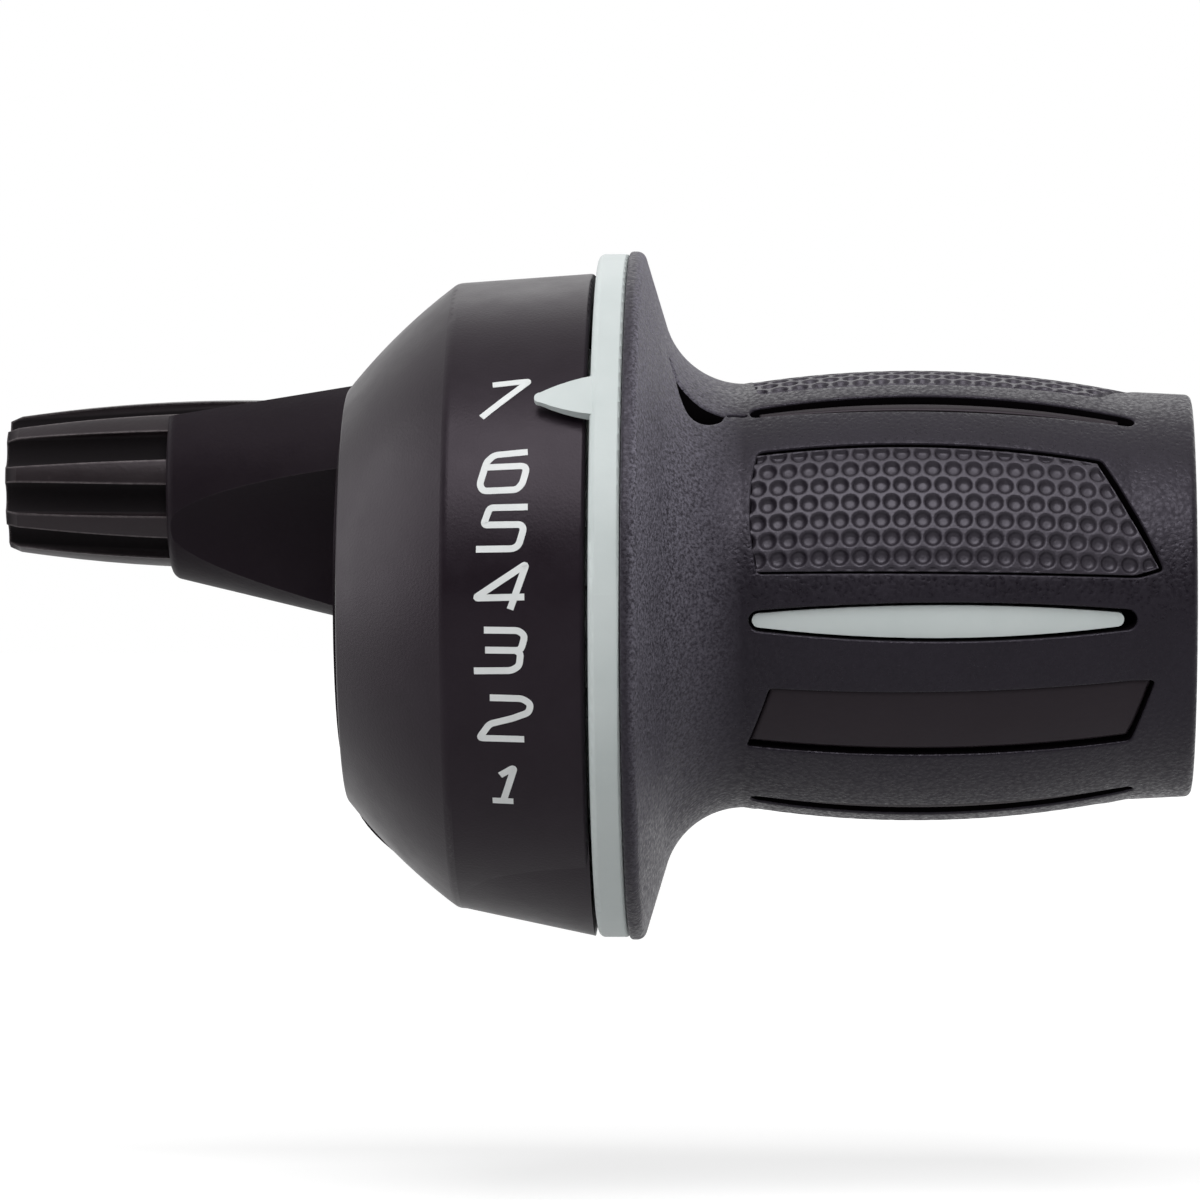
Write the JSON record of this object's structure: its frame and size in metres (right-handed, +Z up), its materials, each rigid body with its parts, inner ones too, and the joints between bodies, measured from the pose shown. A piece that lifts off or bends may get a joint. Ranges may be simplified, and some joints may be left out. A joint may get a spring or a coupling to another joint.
{
  "type": "twist grip shifter",
  "caption": "Bicycle twist grip gear shifter: a rubber covered grip with a pointer ring turns beside a numbered housing that clamps to the bar and carries a fluted cable adjuster.",
  "frame": {"origin": "on the handlebar axis, at the inboard face of the housing", "axes": "+X along the handlebar towards the open end of the grip, -Y out of the numbered side, +Z up"},
  "size_m": [0.0938, 0.0536, 0.0536],
  "materials": {
    "base_nylon": "moulded black nylon",
    "cover_plastic": "satin charcoal",
    "knob_plastic": "moulded black",
    "ring_plastic": "light grey, satin",
    "grip_rubber": "matte charcoal rubber",
    "acetal": "natural",
    "steel": "zinc plated",
    "brass": "turned"
  },
  "bodies": {
    "housing": {"housing_base": "base_nylon", "indicator_cover": "cover_plastic", "clamp_band": "steel", "clamp_bolt": "steel", "clamp_nut": "steel", "retaining_cover": "base_nylon", "retaining_screw": "steel", "thrust_washer": "acetal", "cable_guide": "acetal", "detent_spring": "steel", "adjuster_insert": "brass", "adjuster_spring": "steel"},
    "grip": {"grip_barrel": "ring_plastic", "grip_cover": "grip_rubber"},
    "adjuster_slider": {"adjuster_washer": "acetal"},
    "adjuster": {"barrel_adjuster": "knob_plastic"}
  },
  "joints": [
    {"name": "twist_grip", "type": "hinge", "parent": "housing", "child": "grip", "pos_m": [0.02, 0, 0], "axis": [1, 0, 0], "range_deg": [0, 71.7], "deforming": ["detent_spring"]},
    {"name": "adjuster_travel", "type": "slide", "parent": "housing", "child": "adjuster_slider", "axis": [-1, 0, 0], "range_m": [0, 0.0024], "deforming": ["adjuster_spring"]},
    {"name": "adjuster_turn", "type": "hinge", "parent": "adjuster_slider", "child": "adjuster", "pos_m": [-0.0283, 0.0166, 0.0089], "axis": [-1, 0, 0], "range_deg": [0, 1080]}
  ],
  "couplings": [
    {"joint": "adjuster_turn", "follows": "adjuster_travel", "rad_per_m": 7854}
  ]
}
